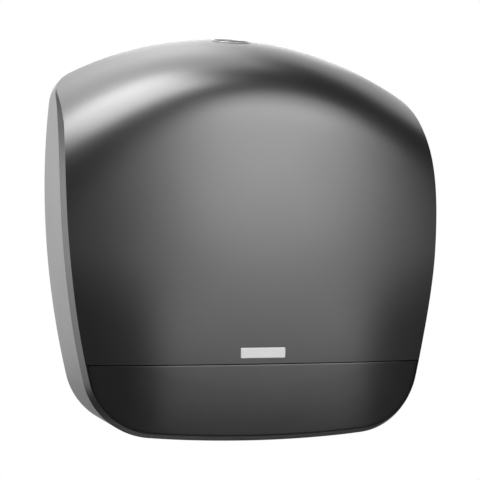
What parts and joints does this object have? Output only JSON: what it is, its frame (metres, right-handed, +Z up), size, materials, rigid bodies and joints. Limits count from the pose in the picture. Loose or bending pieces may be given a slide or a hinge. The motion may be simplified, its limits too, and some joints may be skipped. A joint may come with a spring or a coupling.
{
  "type": "toilet roll dispenser",
  "caption": "Wall-mounted dispenser for jumbo toilet rolls: a lockable cover with a smoked window swings down from a wall plate with a turning roll hub and a toothed paper mouth.",
  "frame": {"origin": "on the wall plane at the centre of the four wall slots, which is also where the roll's axis meets the wall", "axes": "+Z up the wall, +Y into the wall, -Y out to the user, +X to the right as the user sees it"},
  "size_m": [0.35, 0.1439, 0.3748],
  "materials": {
    "satin_black": "anthracite satin injection-moulded plastic, fine texture",
    "smoked_window": "smoked semi-gloss plastic",
    "badge_metal": "thin pale plate, left bare",
    "moulded_grey": "grey moulded plastic",
    "pale_grey": "pale grey moulded plastic",
    "lock_grey": "grey semi-gloss plastic",
    "zinc_steel": "bright zinc plated steel",
    "blade_steel": "stamped stainless steel"
  },
  "bodies": {
    "root": {"back_plate": "moulded_grey", "roll_spindle": "pale_grey", "spindle_screws": "zinc_steel", "brake_washer": "blade_steel", "hub_retainer": "zinc_steel", "retainer_screw": "zinc_steel", "exit_guide": "moulded_grey", "exit_guide_screws": "zinc_steel", "tear_strip_left": "blade_steel", "tear_strip_right": "blade_steel", "tear_strip_screws": "zinc_steel", "hinge_pin_left": "zinc_steel", "hinge_pin_right": "zinc_steel", "latch_strike": "blade_steel", "strike_screws": "zinc_steel"},
    "cover": {"front_cover": "satin_black", "view_window": "smoked_window", "window_clips": "blade_steel", "badge_plate": "badge_metal", "hinge_arm_left": "pale_grey", "hinge_arm_right": "pale_grey", "hinge_arm_screws": "zinc_steel", "lock_bezel": "lock_grey", "lock_screws": "zinc_steel"},
    "lock": {"lock_barrel": "zinc_steel", "lock_cam": "zinc_steel", "cam_screw": "zinc_steel"},
    "hub": {"roll_hub": "pale_grey", "hub_flange": "pale_grey", "hub_nose": "pale_grey", "flange_screws": "zinc_steel"}
  },
  "joints": [
    {"name": "cover_swing", "type": "hinge", "parent": "root", "child": "cover", "pos_m": [0, -0.018, -0.169], "axis": [1, 0, 0], "range_deg": [0, 90]},
    {"name": "key_turn", "type": "hinge", "parent": "cover", "child": "lock", "pos_m": [0, -0.025, 0.18644], "axis": [0, -0.2419, 0.9703], "range_deg": [0, 90]},
    {"name": "roll_spin", "type": "hinge", "parent": "root", "child": "hub", "pos_m": [0, 0, 0], "axis": [0, -1, 0], "continuous": true}
  ]
}
